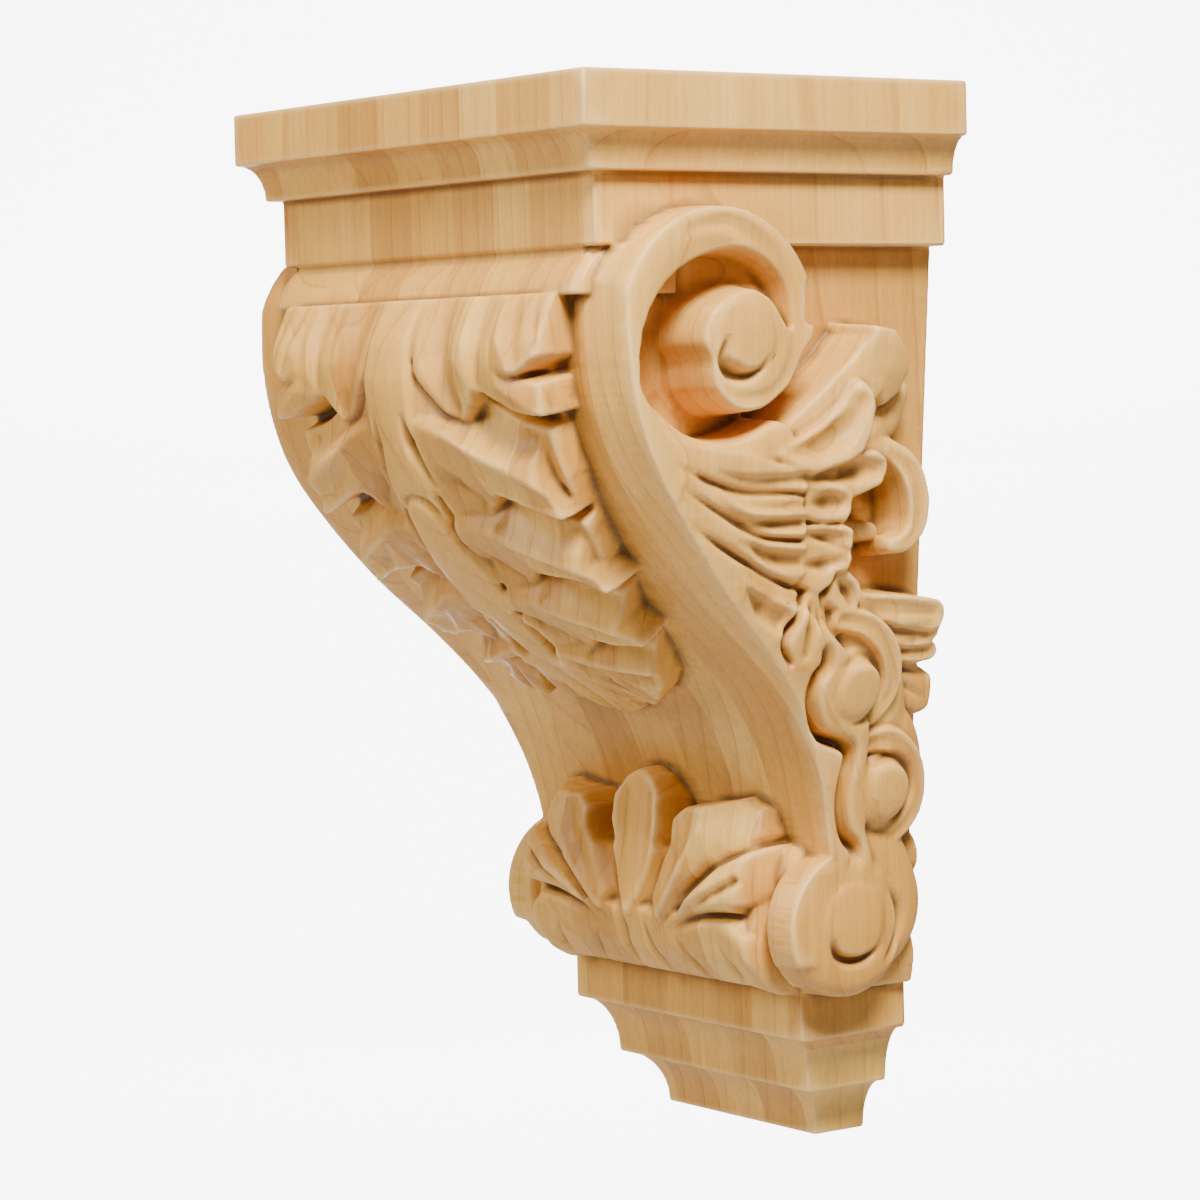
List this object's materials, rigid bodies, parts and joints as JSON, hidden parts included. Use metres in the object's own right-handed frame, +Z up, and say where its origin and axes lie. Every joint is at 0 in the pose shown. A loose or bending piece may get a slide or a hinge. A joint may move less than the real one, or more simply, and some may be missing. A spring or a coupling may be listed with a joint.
{
  "type": "acanthus corbel",
  "caption": "Carved hardwood wall bracket with a stepped cap, scroll sides, an acanthus leaf down its S-shaped front and a shell over a stepped foot.",
  "frame": {"origin": "centre of the flat back face that is fixed to the wall", "axes": "+Z up along the height, -Y out of the front, +X to the right seen from the front"},
  "size_m": [0.222, 0.1636, 0.356],
  "materials": {
    "maple": "satin clear coat on pale close-grained hardwood"
  },
  "bodies": {
    "root": {"corbel": "maple"}
  },
  "joints": []
}
